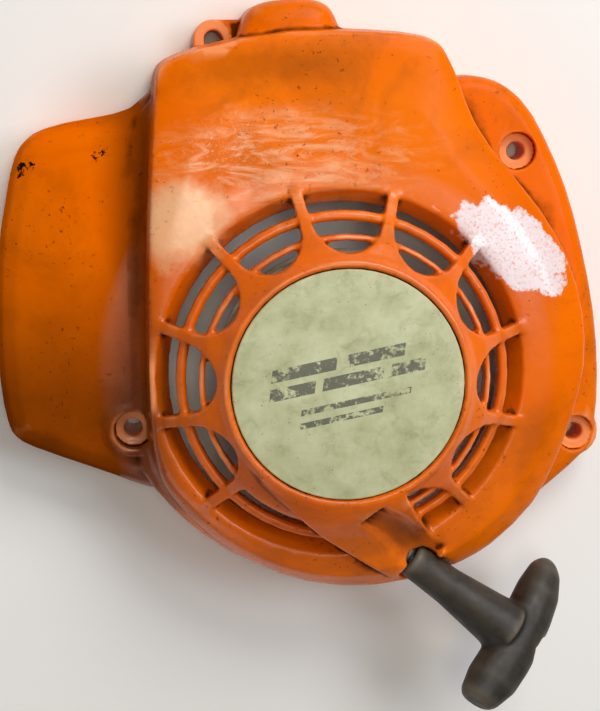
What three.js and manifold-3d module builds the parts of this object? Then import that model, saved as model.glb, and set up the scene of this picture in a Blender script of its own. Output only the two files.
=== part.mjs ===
// Recoil starter of a small two-stroke engine: a moulded fan housing with a round grille, and inside
// it the rope rotor on its post, the rewind spring in its cartridge, two pawls, and the rope with its
// T-grip. Millimetres. X and Y lie in the mounting plane, with the crank axis as the Z axis until the
// finished group is moved to the centre of its base; +Z points out of the engine.

import * as THREE from 'three';
import { mergeVertices } from 'three/addons/utils/BufferGeometryUtils.js';
import Module from 'manifold-3d';

const wasm = await Module();
wasm.setup();

// ---------------------------------------------------------------- driving dimensions

const GAP = 0.3;                 // clearance between neighbouring pieces
const WALL = 2.4;                // wall of the moulding
const FACE_Z = 36.4;             // height of the face round the grille
const DRAFT = 1.2;               // lean of the side walls
const LOBE_FILLET = 4.2;         // concave fillet between the body's wall and the left lobe

const LOBE_Z = 21;               // height of the left lobe beside the body
const FLANGE_Z = 14;             // height of the right flange
const CHIMNEY_Z = 25;            // height of the bump on the top side
const EAR_Z = 12;                // height of the upper left ear

const SCREW_R = 2.6;             // clearance hole of a housing screw
const SEAT_R = 5.2;              // seat of the screw's head
const SEAT_DEPTH = 2.6;          // depth of that seat
const EAR_R = 5.5;               // radius of the upper left ear
const BOSS_WALL = 2.0;           // wall round a screw seat

const SPOKES = 12;
const SPOKE_TURN = 13.8;         // angle of the first spoke, degrees
const SPOKE_W = 3.0;             // width of a spoke at its narrowest
const RIM_R = 49.5;              // edge of the grille recess on the face
const MOUTH_R = 45.8;            // opening of the recess, under its slope
const RECESS_DEPTH = 4.6;        // depth of that slope
const RING_OUTER = { r: 42.75, width: 2.7, top: 41.0, depth: 4.6 };
const RING_INNER = { r: 37.5, width: 1.5, top: 46.0, depth: 4.6 };
const HUB_R = 33.7;              // hub plate, to the bottom of the scallops
const SLOT_R = 38.9;             // edge of the hub plate beside the rope's cover
const SLOT_AT = 7;               // which opening that is, counted from the first spoke
const HUB_Z = 52.2;              // lip round the badge
const HUB_WALL = 3.0;            // thickness of the hub plate
const BADGE_R = 30.1;
const BADGE_T = 0.9;
const BADGE_SEAT = 1.6;          // depth of the badge's seat under the lip

const ROPE_R = 1.5;
const ROPE_Z = 31.8;             // height of the rope's straight run
const PULL_R = 29.4;             // radius at which the full winding lets the rope go
const PULL_ANGLE = -38;          // direction of the pull, degrees
const DRUM_R = 19.8;             // bottom of the rotor's groove
const GROOVE_H = 6.4;            // height of that groove
const FLANGE_T = 1.3;            // thickness of a rotor flange
const ROTOR_R = 33.0;
const RUN_GAP = 0.6;             // running gap between the rotor and what lies over and under it

const POST_R = 4.0;
const POST_LOW = 18.6;           // lower end of the post
const CLIP_Z = 21.2;             // height of the clip's groove
const GROOVE_T = 0.8;            // depth of that groove
const CLIP_T = 1.0;              // thickness of the clip
const BUSH_WALL = 1.9;
const POST_BOSS_WALL = 2.2;      // wall of the boss that holds the post

const CARTRIDGE_R = 29.4;
const CARTRIDGE_WALL = 1.3;
const SPRING_H = 6.4;
const SPRING_T = 0.5;
const SPRING_TURNS = 6;
const COVER_T = 0.8;
const LUG_AT = 31.4;             // radius at which the cartridge's screws sit
const LUG_R = 3.2;               // radius of the lugs round them
const LUG_T = 1.6;               // thickness of the cartridge's lugs
const CASE_SCREW_R = 1.4;

const PAWL_PIVOT_R = 14.5;       // distance of a pawl's pivot from the crank axis
const PAWL_T = 4.2;
const PAWL_EYE = 4.2;            // radius of a pawl round its pivot
const PAWL_REACH = 14.5;         // length of a pawl from pivot to nose
const PEG_R = 2.0;

const WALL_FROM = 38.8;          // rope outlet: distances along the rope's line
const WALL_TO = 44.8;
const BUSHING_R = 3.4;
const BUSHING_FLANGE = 4.4;
const MOUTH_GAP = 0.6;           // clearance of the mouth round the grip's neck
const SCOOP_R = 7.2;             // radius of the hollow over the mouth
const SCOOP_SIDE = 3.4;          // how far that hollow lies beside the rope's line
const SCOOP_SLOPE = 27;          // rise of the hollow towards the hub, degrees
const GRIP_FROM = 47.4;          // tip of the grip's neck
const NECK_R = 4.9;
const NECK_ROOT_R = 7.2;
const BAR_S = 86.6;              // middle of the T-bar
const BAR_HALF = 24.4;           // half its length
const BAR_TURN = -27;            // turn of the bar about the rope, degrees
const BAR_BEND = 2.6;            // how far its ends bend back towards the housing
const BAR_DEEP = 7.3;            // half its depth along the pull
const BAR_FLARE = 0.8;           // growth of that depth towards the end that stands up
const BAR_THICK = 6.2;           // half its thickness
const DISH_R = 4.6;              // radius of the dished end that stands up
const GRIP_BORE = 2.1;
const KNOT_R = 3.6;
const POCKET_R = 4.4;            // pocket of the knot in the grip

// ---------------------------------------------------------------- derived places

const rad = THREE.MathUtils.degToRad;
const PULL = new THREE.Vector3(Math.cos(rad(PULL_ANGLE)), Math.sin(rad(PULL_ANGLE)), 0);
const SIDE = new THREE.Vector3(-PULL.y, PULL.x, 0);
const ROPE_START = SIDE.clone().multiplyScalar(-PULL_R).setZ(ROPE_Z);
const CEILING = HUB_Z - BADGE_SEAT - HUB_WALL;
const CASE_TOP = CEILING - GAP;
const CASE_LOW = CASE_TOP - CARTRIDGE_WALL - SPRING_H - 2 * GAP;
const COVER_TOP = CASE_LOW - GAP;
const ROTOR_TOP = ROPE_Z + GROOVE_H / 2 + FLANGE_T;
const ROTOR_LOW = ROPE_Z - GROOVE_H / 2 - FLANGE_T;
const BUSH_R = POST_R + 2 * GAP + BUSH_WALL - GAP;
const POST_BOSS_R = POST_R + GAP + POST_BOSS_WALL;
const POST_BOSS_LOW = COVER_TOP + 1;
const ROTOR_HUB_R = POST_BOSS_R + GAP + 2.2;

// The place of a cartridge screw, under a spoke of the grille.
function lugPoint(turn) {
  const a = rad(SPOKE_TURN + turn);
  return [LUG_AT * Math.cos(a), LUG_AT * Math.sin(a)];
}

// ---------------------------------------------------------------- solids and shapes

function toSolid(geometry) {
  const bare = new THREE.BufferGeometry();
  const source = geometry.index ? geometry.toNonIndexed() : geometry;
  bare.setAttribute('position', source.getAttribute('position').clone());
  const merged = mergeVertices(bare, 1e-4);
  const index = merged.index.array;
  const kept = [];
  for (let i = 0; i < index.length; i += 3) {
    const [a, b, c] = [index[i], index[i + 1], index[i + 2]];
    if (a !== b && b !== c && c !== a) kept.push(a, b, c);
  }
  return new wasm.Manifold(new wasm.Mesh({
    numProp: 3,
    vertProperties: new Float32Array(merged.getAttribute('position').array),
    triVerts: new Uint32Array(kept),
  }));
}

function toGeometry(solid) {
  const mesh = solid.getMesh();
  const geometry = new THREE.BufferGeometry();
  const points = new Float32Array(mesh.numVert * 3);
  for (let i = 0; i < mesh.numVert; i++) {
    for (let k = 0; k < 3; k++) points[i * 3 + k] = mesh.vertProperties[i * mesh.numProp + k];
  }
  geometry.setAttribute('position', new THREE.BufferAttribute(points, 3));
  geometry.setIndex(new THREE.BufferAttribute(new Uint32Array(mesh.triVerts), 1));
  return geometry;
}

function join(solids) {
  return solids.reduce((sum, solid) => sum.add(solid));
}

// The main skin of a solid, without slivers and sealed voids where its pieces meet.
function largest(solid) {
  return solid.decompose().reduce((a, b) => (b.volume() > a.volume() ? b : a));
}

// A closed skin through rings of equal length that rise along +Z, each end closed by a fan.
function loft(rings) {
  const count = rings[0].length;
  const points = rings.flat().flatMap((p) => [p.x, p.y, p.z]);
  const index = [];
  for (let k = 0; k + 1 < rings.length; k++) {
    for (let i = 0; i < count; i++) {
      const a = k * count + i;
      const b = k * count + (i + 1) % count;
      index.push(a, b, b + count, a, b + count, a + count);
    }
  }
  const last = (rings.length - 1) * count;
  const [low, high] = [rings.length * count, rings.length * count + 1];
  for (const ring of [rings[0], rings.at(-1)]) {
    const middle = ring.reduce((sum, p) => sum.add(p), new THREE.Vector3()).divideScalar(count);
    points.push(middle.x, middle.y, middle.z);
  }
  for (let i = 0; i < count; i++) {
    const next = (i + 1) % count;
    index.push(low, next, i, high, last + i, last + next);
  }
  const geometry = new THREE.BufferGeometry();
  geometry.setAttribute('position', new THREE.Float32BufferAttribute(points, 3));
  geometry.setIndex(index);
  return toSolid(geometry);
}

// A smooth closed ring through [x, y, z] points, counter-clockwise seen from +Z.
function smoothRing(points, count) {
  const curve = new THREE.CatmullRomCurve3(points.map((p) => new THREE.Vector3(...p)), true, 'centripetal');
  const ring = curve.getPoints(count).slice(0, count);
  return THREE.ShapeUtils.area(ring) < 0 ? ring.reverse() : ring;
}

// The outward normal of a ring at each of its points, in the XY plane.
function ringNormals(ring) {
  return ring.map((p, i) => {
    const before = ring[(i + ring.length - 1) % ring.length];
    const after = ring[(i + 1) % ring.length];
    const along = new THREE.Vector3(after.x - before.x, after.y - before.y, 0).normalize();
    return new THREE.Vector3(along.y, -along.x, 0);
  });
}

// Moves a ring outwards by a distance, or by a function of its normal, and to a new height.
function spread(ring, distance, height) {
  const normals = ringNormals(ring);
  return ring.map((p, i) => {
    const by = typeof distance === 'function' ? distance(normals[i], p) : distance;
    const z = typeof height === 'function' ? height(p) : height;
    return new THREE.Vector3(p.x + normals[i].x * by, p.y + normals[i].y * by, z);
  });
}

function lathe(profile, segments = 48) {
  const points = profile.map(([r, z]) => new THREE.Vector2(r, z));
  const geometry = new THREE.LatheGeometry(points, segments);
  geometry.rotateX(Math.PI / 2);
  const solid = toSolid(geometry);
  if (solid.volume() >= 0 && solid.status() === 'NoError') return solid;
  return toSolid(new THREE.LatheGeometry(points.reverse(), segments).rotateX(Math.PI / 2));
}

// A turned piece between two heights, with an optional bore.
function disc(radius, low, high, bore = 0, segments = 24) {
  return lathe([[bore, low], [radius, low], [radius, high], [bore, high], [bore, low]], segments);
}

function cylinderAt(radius, low, high, x, y, segments = 16) {
  return disc(radius, low, high, 0, segments).translate([x, y, 0]);
}

function prism(outline, low, high) {
  const shape = new THREE.Shape(outline.map(([x, y]) => new THREE.Vector2(x, y)));
  const geometry = new THREE.ExtrudeGeometry(shape, { depth: high - low, bevelEnabled: false });
  geometry.translate(0, 0, low);
  return toSolid(geometry);
}

// Turns a solid made about +Z so that its axis is the rope's line, with distance along it from
// the point where the rope leaves the winding.
function alongRope(solid) {
  return solid.rotate([0, 90, 0]).rotate([0, 0, PULL_ANGLE]).translate(ROPE_START.toArray());
}

// ---------------------------------------------------------------- fan housing

// The edge of the domed face, with its height: level beside the lobe, lower on the other sides.
const CROWN = [
  [-48.6, -26.5, 34], [-50.8, -8, 35.4], [-50.7, 14, 35.6], [-49.7, 45, 35], [-48.2, 68, 33.5],
  [-47.5, 76.5, 32.4], [-47, 80, 32], [-45.2, 82, 31.8], [-36, 85.4, 31.5], [-12, 89.8, 31],
  [10, 89.6, 31], [23, 88.2, 30.6], [27, 86.4, 30.4], [29, 83.2, 30.5], [31.2, 78.8, 30.6],
  [36.4, 66, 31], [45.4, 53.6, 31.5], [54.5, 42.6, 31.8], [61.6, 30.5, 32], [66.5, 15, 32],
  [67.2, 0, 32], [64.6, -13, 31.5], [60.6, -26, 30], [54.5, -38.6, 29], [43, -50.2, 28.5],
  [36, -54.4, 28.5], [28, -57.6, 28.5], [10, -61, 28.5], [-8, -59.4, 28.5], [-22, -53.8, 29],
  [-34.5, -45.2, 30], [-43.6, -35.4, 32],
];
const CROWN_POINTS = 2 * CROWN.length;

function bodySolid(inset) {
  const crown = spread(smoothRing(CROWN, CROWN_POINTS), -inset, (p) => p.z - inset);
  const beside = (n, p) => Math.max(0, -n.x) ** 2 * THREE.MathUtils.smoothstep(72 - p.y, 0, 6);
  const fillet = inset > 0 ? [] : [
    [0.9, 0, LOBE_FILLET], [0.9, LOBE_Z + 0.6, LOBE_FILLET], [0.6, LOBE_Z + 2, 1.8],
    [0.4, LOBE_Z + 4.4, 0.5],
  ];
  const rings = fillet.map(([share, z, flare]) => {
    return spread(crown, (n, p) => DRAFT * share + flare * beside(n, p), z);
  });
  if (inset > 0) rings.push(spread(crown, DRAFT, -inset));
  rings.push(crown);
  const rim = crown.map((p) => {
    const r = RIM_R + 1.4;
    return new THREE.Vector3(p.x, p.y, 0).setLength(r).setZ(FACE_Z - inset);
  });
  for (const share of inset > 0 ? [0.45, 1] : [0.12, 0.45, 1]) {
    const rise = 1 - (1 - share) ** 2.4;
    rings.push(crown.map((p, i) => {
      const q = p.clone().lerp(rim[i], share);
      return q.setZ(p.z + (rim[i].z - p.z) * rise);
    }));
  }
  return loft(rings);
}

// A low part of the moulding: a drafted wall with a rounded shoulder and a slightly crowned face.
function lowSolid(outline, count, height, shoulder, inset, crownBy = 0) {
  const foot = smoothRing(outline.map(([x, y]) => [x, y, 0]), count);
  const top = height - inset;
  const rings = [
    spread(foot, -inset, inset > 0 ? -1 : 0),
    spread(foot, -inset - 0.4, top - shoulder),
    spread(foot, -inset - 0.4 - shoulder * 0.3, top - shoulder * 0.35),
    spread(foot, -inset - 0.4 - shoulder, top),
  ];
  const centre = new THREE.Box3().setFromPoints(rings[3]).getCenter(new THREE.Vector3());
  rings.push(rings[3].map((p) => centre.clone().lerp(p, 0.55).setZ(top + crownBy)));
  return loft(rings);
}

const LOBE = [
  [-50, -35.2], [-59.6, -31.6], [-72.1, -26.8], [-84.1, -22], [-88.8, -18.8], [-90.7, -13],
  [-92.2, 0], [-92.2, 17], [-91, 34], [-88.6, 47], [-86.2, 57.2], [-82.6, 62.6], [-76.4, 65.4],
  [-64.3, 67.8], [-55.4, 69.8], [-50.8, 73.4], [-46, 77], [-36, 50], [-36, -10], [-38, -32],
];
const FLANGE = [
  [30, 74], [34.8, 78.6], [42.2, 78.6], [48.6, 76.4], [55.5, 70.4], [62.6, 58], [67.9, 45.4],
  [72.7, 28.4], [76.2, 11.2], [77.7, -6.2], [77, -21], [74.4, -28.4], [66, -36.4], [56, -44.4],
  [45, -51], [30, -46], [14, -20], [12, 20], [18, 58],
];
const CHIMNEY = [
  [-27, 82], [-25.4, 91.4], [-22, 97], [-14.5, 98.9], [-5, 98.9], [-0.6, 96.6], [2.2, 90], [4, 80],
  [-12, 76],
];

const HOUSING_SCREWS = [
  { x: -31.8, y: 88.3, seat: EAR_Z, lip: 0, depth: 0 },
  { x: 52.0, y: 57.8, seat: FLANGE_Z - SEAT_DEPTH, lip: 0, depth: SEAT_DEPTH },
  { x: -55.6, y: -16.6, seat: LOBE_Z - SEAT_DEPTH, lip: 1.2, depth: SEAT_DEPTH },
  { x: 70.4, y: -22.6, seat: FLANGE_Z - SEAT_DEPTH, lip: 0, depth: SEAT_DEPTH },
];
const OVER_SEAT = 3;             // how far a seat's cut runs on above the seat

// The cone of the grille, from the badge's seat over the spokes to the face.
function coneProfile() {
  const seat = HUB_Z - BADGE_SEAT;
  const lip = BADGE_R + GAP;
  return [
    [0, seat], [lip, seat], [lip + 0.2, HUB_Z], [lip + 1.6, HUB_Z], [HUB_R, HUB_Z - 2.2],
    [RING_INNER.r, RING_INNER.top + 1.2], [RING_OUTER.r, RING_OUTER.top + 1.0], [RIM_R, FACE_Z + 0.6],
    [RIM_R + 1.6, FACE_Z + 0.1], [RIM_R + 1.6, FACE_Z - 1.4], [RIM_R - 0.6, FACE_Z - HUB_WALL],
    [RING_OUTER.r, RING_OUTER.top - HUB_WALL - 0.6], [RING_INNER.r, RING_INNER.top - HUB_WALL - 0.6],
    [HUB_R - 1.2, CEILING], [0, CEILING],
  ];
}

// One opening between two spokes: round at the hub, with sides beside the spokes.
function windowOutline() {
  const half = Math.PI / SPOKES;
  const centre = (HUB_R - SPOKE_W / 2) / (1 - Math.sin(half));
  const r = centre - HUB_R;
  const reach = RIM_R + 6;
  const points = [];
  for (let k = 0; k <= 8; k++) {
    const a = Math.PI / 2 + half + (k / 8) * (Math.PI - 2 * half);
    points.push([centre + r * Math.cos(a), r * Math.sin(a)]);
  }
  const side = SPOKE_W / 2 / Math.cos(half);
  points.push([reach, -(reach * Math.tan(half) - side)], [reach, reach * Math.tan(half) - side]);
  return points;
}

function ringSolid({ r, width, top, depth }) {
  const [a, b] = [r - width / 2, r + width / 2];
  const soft = width * 0.28;
  return lathe([
    [a, top - depth], [b, top - depth], [b, top - soft], [b - soft, top], [a + soft, top],
    [a, top - soft], [a, top - depth],
  ], 48);
}

// The narrow opening beside the rope's cover, where the hub plate runs out to the outer ring.
function slotOutline() {
  const points = [];
  for (let k = 0; k <= 8; k++) {
    const a = rad(226 + (50 * k) / 8);
    points.push([SLOT_R * Math.cos(a), SLOT_R * Math.sin(a)]);
  }
  for (const a of [rad(276), rad(251), rad(225.4)]) {
    points.push([(RIM_R + 10) * Math.cos(a), (RIM_R + 10) * Math.sin(a)]);
  }
  return points;
}

function grilleSolid() {
  let cone = lathe(coneProfile(), 48).subtract(prism(slotOutline(), 0, HUB_Z + 10));
  for (let k = 0; k < SPOKES; k++) {
    const turn = SPOKE_TURN + (k + 0.5) * (360 / SPOKES);
    if (k === SLOT_AT) continue;
    cone = cone.subtract(prism(windowOutline(), 0, HUB_Z + 10).rotate([0, 0, turn]));
  }
  return join([cone, ringSolid(RING_OUTER), ringSolid(RING_INNER)]);
}

// The raised cover over the rope's run, from the hub to the outlet in the side wall.
const FAIRING = [
  [-26, -18], [-22.3, -25.5], [-14.1, -34.2], [-6.3, -42.2], [2.5, -48.8], [13.6, -56.8],
  [17.5, -60.5], [24, -59.5], [29.5, -52], [21, -39.5], [14, -28], [0, -14],
];
const FAIRING_RISE = 1.6;

function fairingSolid() {
  const outer = RIM_R + 13;
  const profile = [
    [0, CEILING], [0, HUB_Z - BADGE_SEAT], [BADGE_R + GAP, HUB_Z - BADGE_SEAT],
    [BADGE_R + GAP + 1.6, HUB_Z - 0.1], [HUB_R, HUB_Z - 0.8], [RING_INNER.r, RING_INNER.top + 2.8],
    [RING_OUTER.r, RING_OUTER.top + 1.8 + FAIRING_RISE], [RIM_R, FACE_Z + 2.4 + FAIRING_RISE],
    [RIM_R + 5, FACE_Z + 2.6], [RIM_R + 8.4, FACE_Z], [RIM_R + 11, 31], [outer, 26], [outer, 24],
    [MOUTH_R - 9, 24], [HUB_R - 0.4, 40],
    [HUB_R - 0.4, CEILING], [0, CEILING],
  ];
  return lathe(profile, 48).intersect(prism(FAIRING, 0, HUB_Z + 5));
}

// What the rope's run takes out of the fairing: an open channel, the bushing's seat, the mouth
// round the grip's neck, and the hollow over the mouth.
function ropeWay() {
  const channel = new THREE.BoxGeometry(WALL_FROM - 8, 8.4, 20);
  channel.translate((WALL_FROM + 8) / 2, 0, -6);
  channel.rotateZ(rad(PULL_ANGLE));
  channel.translate(...ROPE_START.toArray());
  const seat = lathe([
    [0, WALL_FROM - 1], [BUSHING_R + GAP, WALL_FROM - 1], [BUSHING_R + GAP, WALL_TO],
    [BUSHING_FLANGE + GAP, WALL_TO], [BUSHING_FLANGE + GAP, GRIP_FROM - 0.2], [0, GRIP_FROM - 0.2],
  ], 20);
  const bell = alongRope(lathe([
    [0, GRIP_FROM - 0.5], [NECK_R + MOUTH_GAP, GRIP_FROM - 0.5], [NECK_R + MOUTH_GAP + 0.6, GRIP_FROM + 14],
    [NECK_ROOT_R + 2, BAR_S - 8], [0, BAR_S - 8],
  ], 20));
  const scoop = lathe([[0, 0], [SCOOP_R, 0], [SCOOP_R + 2, 30], [0, 30]], 28)
    .rotate([0, 90, 0]).translate([-22, 0, 0]).rotate([0, SCOOP_SLOPE, 0]);
  const low = ROPE_Z + NECK_R + 0.4;
  const hollow = scoop.translate([GRIP_FROM + 1, SCOOP_SIDE, low + SCOOP_R])
    .rotate([0, 0, PULL_ANGLE]).translate([ROPE_START.x, ROPE_START.y, 0]);
  return join([toSolid(channel), alongRope(seat), bell, bell.translate([0, 0, 5]),
    bell.translate([0, 0, 10]), hollow]);
}

function outletWall() {
  const plug = new THREE.BoxGeometry(WALL_TO - WALL_FROM, 19, 20);
  plug.translate((WALL_FROM + WALL_TO) / 2, 0, -2);
  plug.rotateZ(rad(PULL_ANGLE));
  plug.translate(...ROPE_START.toArray());
  return toSolid(plug);
}

function screwBosses() {
  return join(HOUSING_SCREWS.map(({ x, y, seat, lip, depth }) => {
    const high = lip > 0 ? seat + depth + lip : seat;
    return cylinderAt(depth > 0 ? SEAT_R + BOSS_WALL : EAR_R, 0, high, x, y, 20);
  }));
}

function screwHoles() {
  return join(HOUSING_SCREWS.flatMap(({ x, y, seat, depth }) => [
    cylinderAt(SCREW_R, -1, seat + 1, x, y, 14),
    ...(depth > 0 ? [cylinderAt(SEAT_R, seat, seat + depth + OVER_SEAT, x, y, 20)] : []),
  ]));
}

// Ribs that stiffen the face and the lobe on the engine side, from a way above the mounting plane.
const RIB_T = 1.6;
const RIB_LOW = 8;
const RIBS = [
  { x: -12, y: 70, long: 44, turn: 97 }, { x: 22, y: 66, long: 44, turn: 70 },
  { x: -70, y: 20, long: 48, turn: 0 }, { x: -70, y: 46, long: 48, turn: 0 },
];

function innerRibs(envelope) {
  const ribs = RIBS.map(({ x, y, long, turn }) => {
    const box = new THREE.BoxGeometry(long, RIB_T, FACE_Z);
    box.rotateZ(rad(turn));
    box.translate(x, y, RIB_LOW + FACE_Z / 2);
    return toSolid(box);
  });
  return join(ribs).intersect(envelope);
}

// The whole form of the moulding, drawn in by an inset for the hollow inside it.
function formSolid(inset) {
  return join([
    bodySolid(inset),
    lowSolid(LOBE, 34, LOBE_Z, 5.5, inset, 1.2),
    lowSolid(FLANGE, 36, FLANGE_Z, 3.4, inset, 0.6),
    lowSolid(CHIMNEY, 18, CHIMNEY_Z, 5, inset, 0.6),
  ]);
}

function fanHousing() {
  const outer = formSolid(0);
  const inner = formSolid(WALL);
  const deepest = lathe([
    [0, -2], [MOUTH_R, -2], [MOUTH_R, FACE_Z - RECESS_DEPTH], [RIM_R, FACE_Z],
    [RIM_R + 2, FACE_Z + 2.4], [0, FACE_Z + 2.4],
  ], 48);
  const collar = disc(MOUTH_R + WALL, FACE_Z - RECESS_DEPTH - 1, FACE_Z - 1, MOUTH_R, 48);
  const web = prism([[-31.8, 84], [-20, 84], [-22, 93.8], [-31.8, 93.7]], 0, EAR_Z - 1);
  const shell = join([outer, screwBosses(), web]).subtract(inner);
  const ribs = innerRibs(formSolid(WALL / 2)).subtract(disc(RIM_R + 4, 0, 60));
  const post = disc(POST_BOSS_R, POST_BOSS_LOW, CEILING + 1);
  const lugs = join([0, 180].map((turn) => {
    return cylinderAt(LUG_R, CASE_LOW + LUG_T + GAP, CEILING + 0.6, ...lugPoint(turn));
  })).subtract(disc(CARTRIDGE_R + GAP, 0, CASE_TOP + GAP));
  const lugHoles = join([0, 180].map((turn) => {
    return cylinderAt(CASE_SCREW_R + GAP, 0, CEILING - 0.4, ...lugPoint(turn), 16);
  }));
  const outlet = join([fairingSolid(), outletWall().intersect(outer)]);
  const whole = join([
    shell.add(collar).subtract(deepest), screwBosses(), ribs, grilleSolid(), outlet, post, lugs,
  ]);
  const cut = whole
    .subtract(screwHoles())
    .subtract(ropeWay())
    .subtract(lugHoles)
    .subtract(disc(POST_R + GAP, 0, CEILING - 0.5))
    .subtract(disc(ROTOR_R + 1.6, 0, CASE_TOP - 4, POST_BOSS_R).subtract(lugs));
  return largest(cut);
}

// ---------------------------------------------------------------- badge, bushing, post

function hubBadge() {
  const low = HUB_Z - BADGE_SEAT + GAP;
  return lathe([
    [0, low], [BADGE_R, low], [BADGE_R, low + BADGE_T - 0.25], [BADGE_R - 0.3, low + BADGE_T],
    [0, low + BADGE_T],
  ], 60);
}

function ropeBushing() {
  const bore = ROPE_R + 0.5;
  const from = WALL_FROM - 0.6;
  return alongRope(lathe([
    [bore + 0.7, from], [BUSHING_R, from], [BUSHING_R, WALL_TO + GAP], [BUSHING_FLANGE, WALL_TO + GAP],
    [BUSHING_FLANGE, WALL_TO + 1.3], [BUSHING_FLANGE - 0.7, WALL_TO + 2.1], [bore + 0.8, WALL_TO + 2.1],
    [bore, WALL_TO + 1], [bore, from + 0.8], [bore + 0.7, from],
  ], 20));
}

function starterPost() {
  return lathe([
    [0, POST_LOW], [POST_R - 0.6, POST_LOW], [POST_R, POST_LOW + 0.6], [POST_R, CLIP_Z - 1],
    [POST_R - GROOVE_T, CLIP_Z - 1], [POST_R - GROOVE_T, CLIP_Z + 1], [POST_R, CLIP_Z + 1],
    [POST_R, CEILING - 1.4], [POST_R - 0.6, CEILING - 0.8], [0, CEILING - 0.8],
  ], 20);
}

// ---------------------------------------------------------------- rewind spring and its cartridge

function springCartridge() {
  const inside = CARTRIDGE_R - CARTRIDGE_WALL;
  const plate = CASE_TOP - CARTRIDGE_WALL;
  const eye = POST_BOSS_R + GAP;
  let cup = lathe([
    [inside, CASE_LOW], [CARTRIDGE_R, CASE_LOW], [CARTRIDGE_R, CASE_TOP], [eye, CASE_TOP],
    [eye, plate], [inside, plate], [inside, CASE_LOW],
  ], 48);
  for (const turn of [0, 180]) {
    const [x, y] = lugPoint(turn);
    const lug = cylinderAt(LUG_R, CASE_LOW, CASE_LOW + LUG_T, x, y);
    const inner = disc(CARTRIDGE_R - 0.4, CASE_LOW - 1, CASE_LOW + 3, 0, 48);
    cup = cup.add(lug.subtract(inner)).subtract(cylinderAt(CASE_SCREW_R + GAP, 0, 60, x, y, 16));
  }
  return cup;
}

function springCover() {
  let plate = disc(CARTRIDGE_R, COVER_TOP - COVER_T, COVER_TOP, ROTOR_HUB_R + 1.4, 48);
  for (const turn of [0, 180]) {
    const [x, y] = lugPoint(turn);
    plate = plate.add(cylinderAt(LUG_R, COVER_TOP - COVER_T, COVER_TOP, x, y));
    plate = plate.subtract(cylinderAt(CASE_SCREW_R + GAP, 0, 60, x, y, 16));
  }
  return plate;
}

function caseScrew(turn) {
  const [x, y] = lugPoint(turn);
  const head = COVER_TOP - COVER_T - GAP;
  return lathe([
    [0, head - 0.2], [0.9, head - 1.1], [2.2, head - 1.1], [2.5, head - 0.7], [2.5, head],
    [CASE_SCREW_R, head], [CASE_SCREW_R, CEILING - 2], [0, CEILING - 1],
  ], 14).translate([x, y, 0]);
}

// A flat spiral of steel strip, hooked on the rotor inside and in the cartridge outside.
function rewindSpring() {
  const inner = ROTOR_HUB_R + GAP;
  const outer = CARTRIDGE_R - CARTRIDGE_WALL - GAP - SPRING_T;
  const steps = SPRING_TURNS * 18;
  const low = CASE_LOW + GAP;
  const [front, back] = [[], []];
  for (let k = 0; k <= steps; k++) {
    const a = (k / steps) * SPRING_TURNS * 2 * Math.PI;
    const r = inner + (outer - inner) * (k / steps);
    front.push([r * Math.cos(a), r * Math.sin(a)]);
    back.push([(r + SPRING_T) * Math.cos(a), (r + SPRING_T) * Math.sin(a)]);
  }
  return prism([...back, ...front.reverse()], low, low + SPRING_H);
}

// ---------------------------------------------------------------- rope rotor

function rotorKnotPoint() {
  const a = rad(118);
  return [13.2 * Math.cos(a), 13.2 * Math.sin(a)];
}

function pawlPivot(k) {
  const a = rad(60 + 180 * k);
  return [PAWL_PIVOT_R * Math.cos(a), PAWL_PIVOT_R * Math.sin(a)];
}

function ropeRotor() {
  const bore = BUSH_R + GAP;
  const neck = POST_BOSS_R + GAP;
  const hubTop = CASE_LOW + 2.4;
  const body = lathe([
    [bore, ROTOR_LOW], [9.4, ROTOR_LOW], [9.4, ROTOR_LOW + 5], [16.4, ROTOR_LOW + 5],
    [16.4, ROTOR_LOW], [ROTOR_R, ROTOR_LOW + 0.2], [ROTOR_R, ROTOR_LOW + FLANGE_T - 0.1],
    [DRUM_R, ROTOR_LOW + FLANGE_T], [DRUM_R, ROTOR_TOP - FLANGE_T],
    [ROTOR_R, ROTOR_TOP - FLANGE_T + 0.1], [ROTOR_R, ROTOR_TOP - 0.2],
    [ROTOR_HUB_R, ROTOR_TOP], [ROTOR_HUB_R, hubTop], [neck, hubTop], [neck, POST_BOSS_LOW - RUN_GAP],
    [bore, POST_BOSS_LOW - RUN_GAP], [bore, ROTOR_LOW],
  ], 48);
  const [kx, ky] = rotorKnotPoint();
  const out = new THREE.Vector3(kx, ky, 0).normalize();
  const hole = new THREE.CylinderGeometry(ROPE_R + 0.4, ROPE_R + 0.4, 14, 14);
  hole.rotateZ(Math.PI / 2);
  hole.rotateZ(Math.atan2(out.y, out.x));
  hole.translate(out.x * 18, out.y * 18, ROPE_Z - 1);
  const pocket = cylinderAt(KNOT_R + 0.3, ROTOR_LOW - 1, ROTOR_TOP - 1.6, kx, ky);
  const sockets = join([0, 1].map((k) => cylinderAt(PEG_R + GAP, ROTOR_LOW - 1, ROTOR_LOW + 5, ...pawlPivot(k))));
  const holders = join([0, 1].map((k) => cylinderAt(PEG_R + 1.6, ROTOR_LOW, ROTOR_LOW + 6, ...pawlPivot(k))));
  const inside = disc(DRUM_R - 0.5, ROTOR_LOW, ROTOR_TOP - 1, 7);
  return body.add(holders.intersect(inside)).subtract(toSolid(hole)).subtract(pocket).subtract(sockets);
}

function rotorBush() {
  return disc(BUSH_R, ROTOR_LOW - 0.2, POST_BOSS_LOW - GAP, POST_R + GAP, 20);
}

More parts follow.
